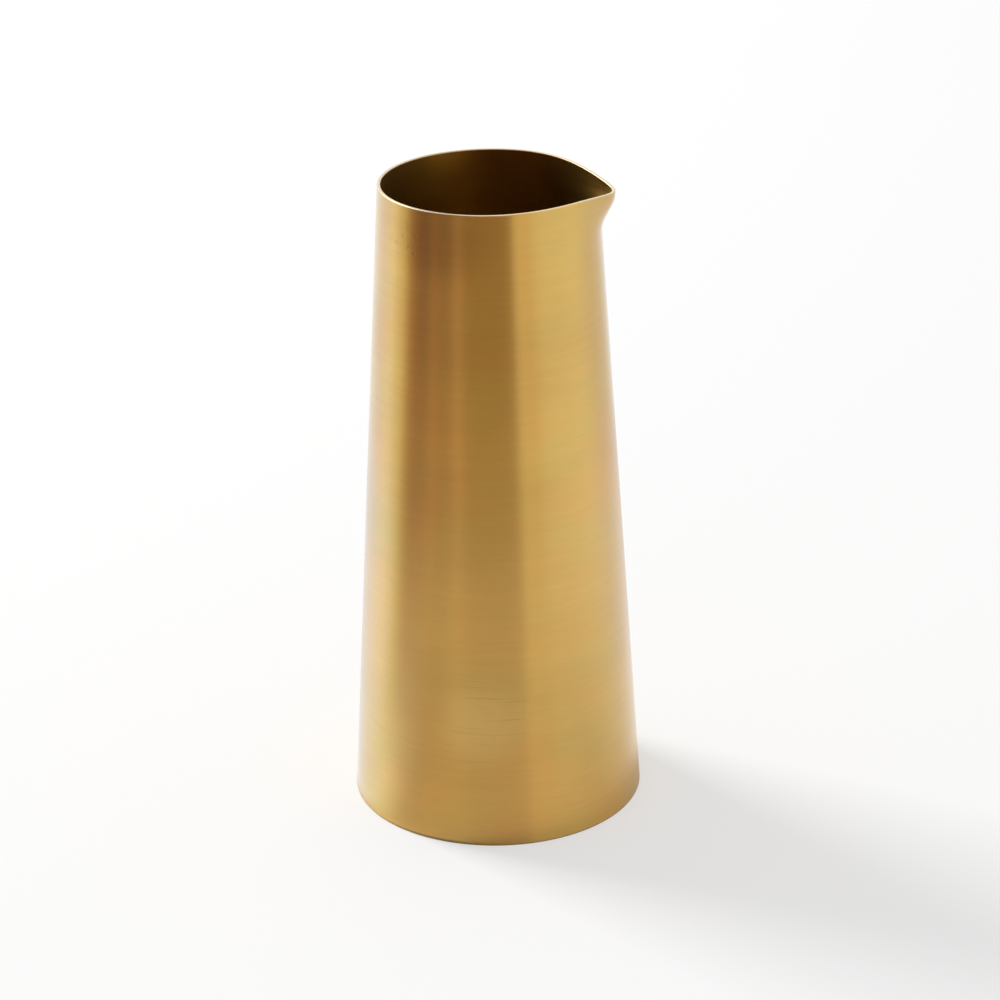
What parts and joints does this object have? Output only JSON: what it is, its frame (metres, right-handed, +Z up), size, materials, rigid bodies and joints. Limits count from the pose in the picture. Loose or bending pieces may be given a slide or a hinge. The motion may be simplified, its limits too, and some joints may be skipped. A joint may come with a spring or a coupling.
{
  "type": "creamer",
  "caption": "Handleless creamer: a tapered sheet-brass wall with a pouring lip pressed out of its rim, closed at the wide end by a drawn pan that is soldered in.",
  "frame": {"origin": "on the axis of the tapered wall, in the plane that the creamer stands on", "axes": "+Z up along the wall's axis, +X towards the tip of the pouring lip"},
  "size_m": [0.06, 0.06, 0.132],
  "materials": {
    "brushed_brass": "brushed around the wall, satin",
    "turned_brass": "fine turned rings, satin",
    "solder": "as cast, wiped"
  },
  "bodies": {
    "root": {"tapered_wall": "brushed_brass", "base_pan": "turned_brass", "solder_fillet": "solder"}
  },
  "joints": []
}
